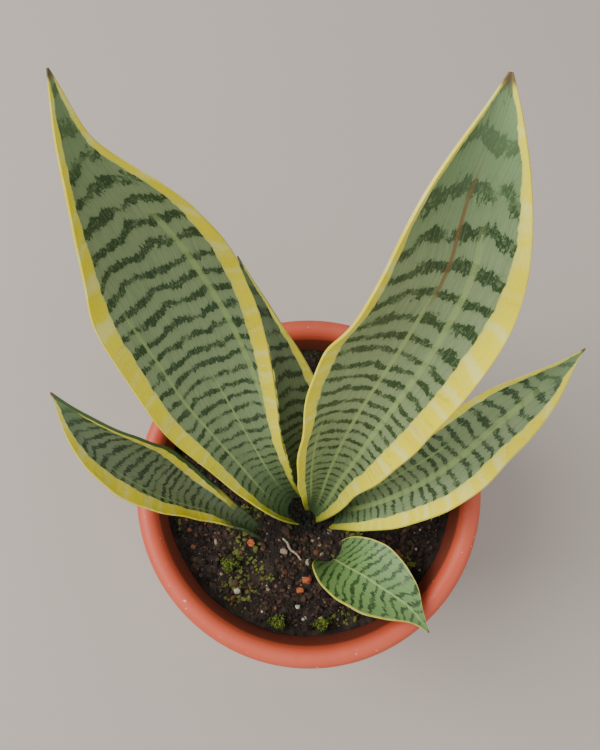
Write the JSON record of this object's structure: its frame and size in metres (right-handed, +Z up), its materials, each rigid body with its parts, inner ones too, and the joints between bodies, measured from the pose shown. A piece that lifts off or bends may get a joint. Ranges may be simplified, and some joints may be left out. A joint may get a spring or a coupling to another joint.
{
  "type": "potted snake plant",
  "caption": "Snake plant with yellow-edged, dark-banded leaves in a round terracotta-coloured plastic pot with a rolled rim.",
  "frame": {"origin": "centre of the pot's flat underside", "axes": "+Z up along the pot's axis, -Y toward the side that the small leaf bends over, +X toward the low right leaf"},
  "size_m": [0.2648, 0.2437, 0.4404],
  "materials": {
    "pot": "smooth terracotta-coloured plastic with a soft sheen",
    "soil": "loose dark potting mix, damp",
    "leaf": "waxy grey-green leaf with dark green cross bands and yellow margins",
    "leaf_shaded": "the same leaf, darker",
    "leaf_young": "fresher green leaf with fine dark bands and a very thin pale margin",
    "brick": "rough broken brick",
    "pebble": "dull pale grain",
    "moss": "soft low moss",
    "dry_root": "dry pale root"
  },
  "bodies": {
    "root": {"pot": "pot", "soil": "soil", "leaf_tall_left": "leaf", "leaf_tall_right": "leaf", "leaf_back": "leaf_shaded", "leaf_low_right": "leaf", "leaf_low_left": "leaf", "leaf_small_front": "leaf_young", "brick_chip_1": "brick", "brick_chip_2": "brick", "brick_chip_3": "brick", "pebble_1": "pebble", "pebble_2": "pebble", "moss_clump_1": "moss", "moss_clump_2": "moss", "moss_clump_3": "moss", "dry_root": "dry_root"}
  },
  "joints": []
}
